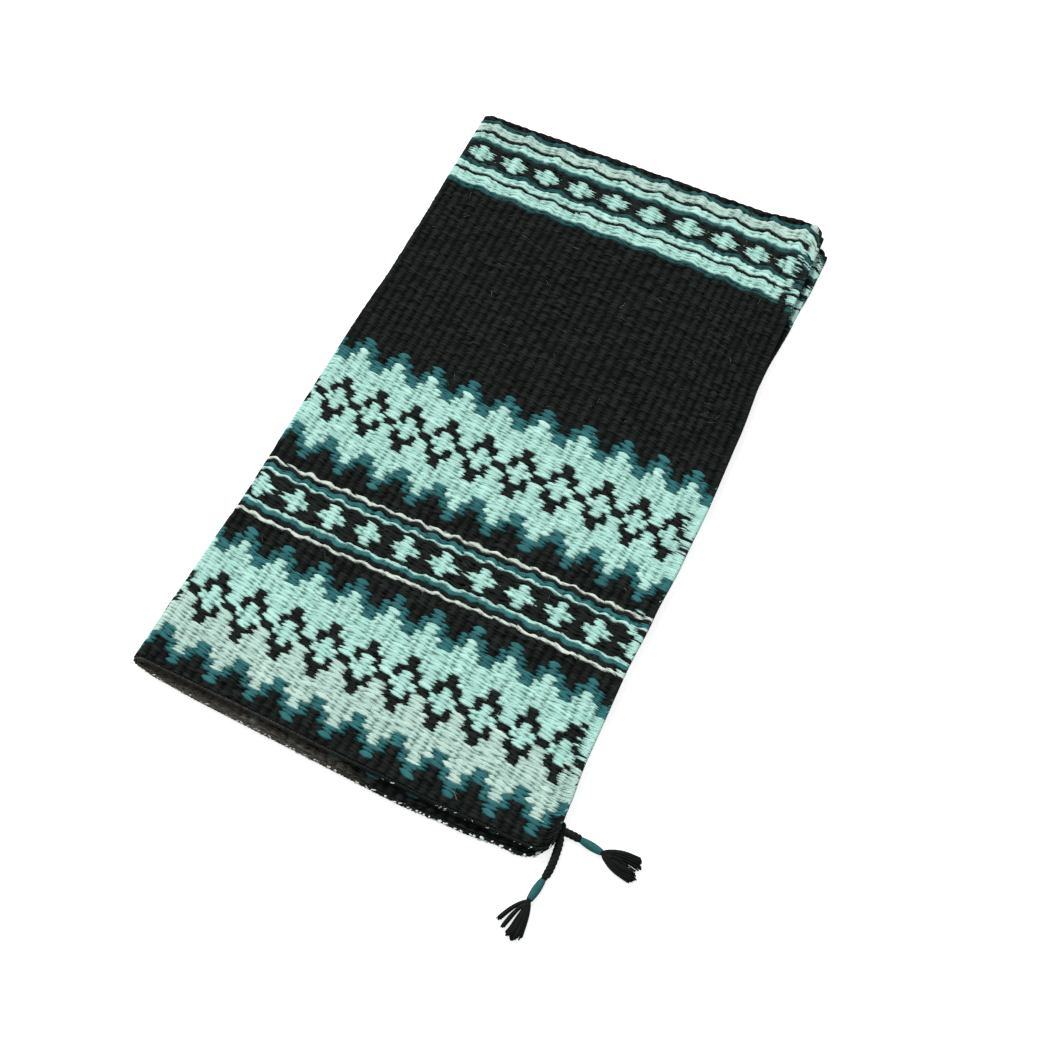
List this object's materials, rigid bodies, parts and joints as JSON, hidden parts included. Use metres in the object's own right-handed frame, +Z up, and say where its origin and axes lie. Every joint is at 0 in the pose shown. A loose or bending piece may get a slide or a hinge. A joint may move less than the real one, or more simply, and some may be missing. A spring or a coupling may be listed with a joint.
{
  "type": "saddle blanket",
  "caption": "Woven wool saddle blanket folded into a thick pad, with a ribbed zigzag and star pattern, a top leaf that opens like a book, and corner tassels.",
  "frame": {"origin": "middle of the folded pack's underside, without the tassels", "axes": "+Z up; +Y along the weave's ribs, from the end with the cut edges to the end folds; +X across the ribs, from the spine fold to the selvedges"},
  "size_m": [0.5139, 0.8756, 0.0154],
  "materials": {
    "patterned_wool": "matt ribbed wool weave, black with aqua, teal and cream bands",
    "black_wool": "matt black wool yarn with stray pale fibres",
    "teal_wool": "matt teal wool yarn, wound in close turns"
  },
  "bodies": {
    "lower_leaf": {"lower_outer_ply": "patterned_wool", "lower_inner_ply": "patterned_wool", "lower_end_fold": "black_wool", "lower_outer_end_cord": "black_wool", "lower_inner_end_cord": "black_wool", "lower_selvedge_cord": "black_wool", "outer_spine_fold": "patterned_wool", "inner_spine_fold": "patterned_wool", "corner_fold": "black_wool", "outer_cord_bend": "black_wool", "inner_cord_bend": "black_wool", "corner_knot": "black_wool"},
    "upper_leaf": {"upper_outer_ply": "patterned_wool", "upper_inner_ply": "patterned_wool", "upper_end_fold": "black_wool", "upper_outer_end_cord": "black_wool", "upper_inner_end_cord": "black_wool", "upper_selvedge_cord": "black_wool"},
    "long_tassel": {"long_tassel_cord": "black_wool", "long_tassel_whipping": "teal_wool", "long_tassel_tuft": "black_wool"},
    "short_tassel": {"short_tassel_cord": "black_wool", "short_tassel_whipping": "teal_wool", "short_tassel_tuft": "black_wool"}
  },
  "joints": [
    {"name": "spine_fold", "type": "hinge", "parent": "lower_leaf", "child": "upper_leaf", "pos_m": [-0.21215, 0, 0.0077], "axis": [0, -1, 0], "range_deg": [0, 180], "deforming": ["outer_spine_fold", "inner_spine_fold", "corner_fold", "outer_cord_bend", "inner_cord_bend"]},
    {"name": "long_tassel_swing", "type": "hinge", "parent": "lower_leaf", "child": "long_tassel", "pos_m": [0.2213, -0.36109, 0.004], "axis": [0, 0, 1], "range_deg": [-5, 8]},
    {"name": "short_tassel_swing", "type": "hinge", "parent": "lower_leaf", "child": "short_tassel", "pos_m": [0.2213, -0.36109, 0.004], "axis": [0, 0, 1], "range_deg": [-1, 60]}
  ]
}
